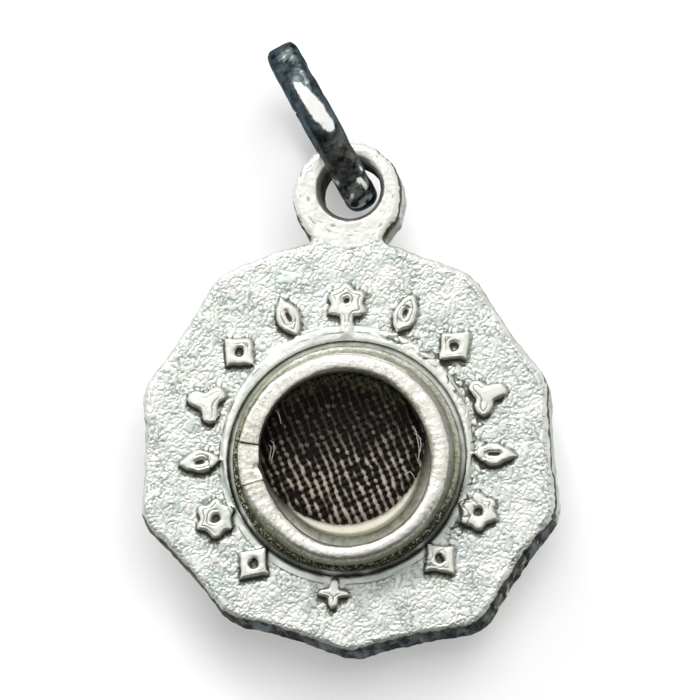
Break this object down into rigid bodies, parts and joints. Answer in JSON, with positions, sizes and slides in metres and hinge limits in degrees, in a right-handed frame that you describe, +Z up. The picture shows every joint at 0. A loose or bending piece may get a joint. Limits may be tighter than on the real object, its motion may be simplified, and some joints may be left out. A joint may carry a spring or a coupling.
{
  "type": "reliquary medal",
  "caption": "Small lobed metal medal with an ear and a jump ring; a round rimmed capsule on its face shows a disc of woven cloth.",
  "frame": {"origin": "middle of the medal's flat back, on the centre of the circle of lobes", "axes": "+Z up from the medal's middle to its ear as it hangs, +Y out of the back, face towards -Y"},
  "size_m": [0.0161, 0.0072, 0.0244],
  "materials": {
    "cast_silver": "cast, tumbled, darkened in the hollows",
    "drawn_cup": "drawn sheet, dull",
    "polished_rim": "polished, tarnished near its foot",
    "blackened_wire": "blackened, worn bright on top",
    "cream_card": "matte",
    "brown_cloth": "plain weave, coarse"
  },
  "bodies": {
    "medal": {"medal_body": "cast_silver", "capsule_cup": "drawn_cup", "rolled_rim": "polished_rim", "rim_segment": "polished_rim", "backing_disc": "cream_card", "relic_cloth": "brown_cloth"},
    "ring": {"jump_ring": "blackened_wire"}
  },
  "joints": [
    {"name": "ring_swing", "type": "hinge", "parent": "medal", "child": "ring", "pos_m": [0.00034, -0.0009, 0.01041], "axis": [0, -1, 0], "range_deg": [-138, 82]}
  ]
}
